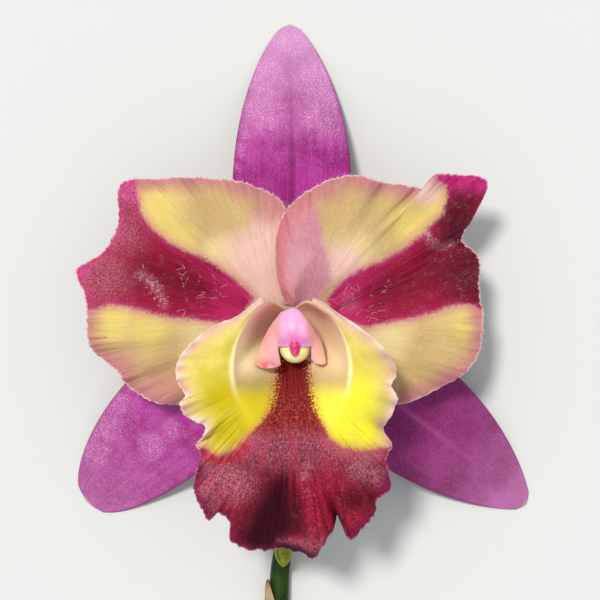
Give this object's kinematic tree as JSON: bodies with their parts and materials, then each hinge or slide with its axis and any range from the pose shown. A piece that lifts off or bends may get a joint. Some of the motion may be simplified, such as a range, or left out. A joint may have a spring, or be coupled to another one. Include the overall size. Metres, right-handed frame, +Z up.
{
  "type": "cattleya orchid flower",
  "caption": "Cattleya flower picked with its cut stem, lying face up: magenta sepals, cream petals with a crimson stripe, and a frilled yellow and crimson lip round the column.",
  "frame": {"origin": "centre of the flower's bounding box in plan, on the surface it lies on", "axes": "+Z up, the way the open flower faces; +Y towards the tip of the upper sepal; the stem runs out along -Y"},
  "size_m": [0.1044, 0.1364, 0.0431],
  "materials": {
    "sepal": "magenta-violet petal tissue with a fine crystalline grain, paler and speckled at the tips",
    "petal": "cream-yellow petal tissue with a crimson wedge down the middle, rose at the margin and pink at the foot",
    "lip": "bright yellow side lobes with a pale frill, crimson band and midlobe, velvety",
    "column": "waxy pale pink with peach wings and a magenta tongue",
    "anther_cap": "waxy pale yellow",
    "pollinia": "waxy golden yellow",
    "stem": "smooth fleshy green",
    "bud": "smooth waxy yellow-green",
    "bract": "dry papery tan with fine ribs"
  },
  "bodies": {
    "root": {"dorsal_sepal": "sepal", "left_lateral_sepal": "sepal", "right_lateral_sepal": "sepal", "left_petal": "petal", "right_petal": "petal", "lip": "lip", "column": "column", "anther_cap": "anther_cap", "pollinia": "pollinia", "stem": "stem", "closed_bud": "bud", "bract": "bract"}
  },
  "joints": []
}
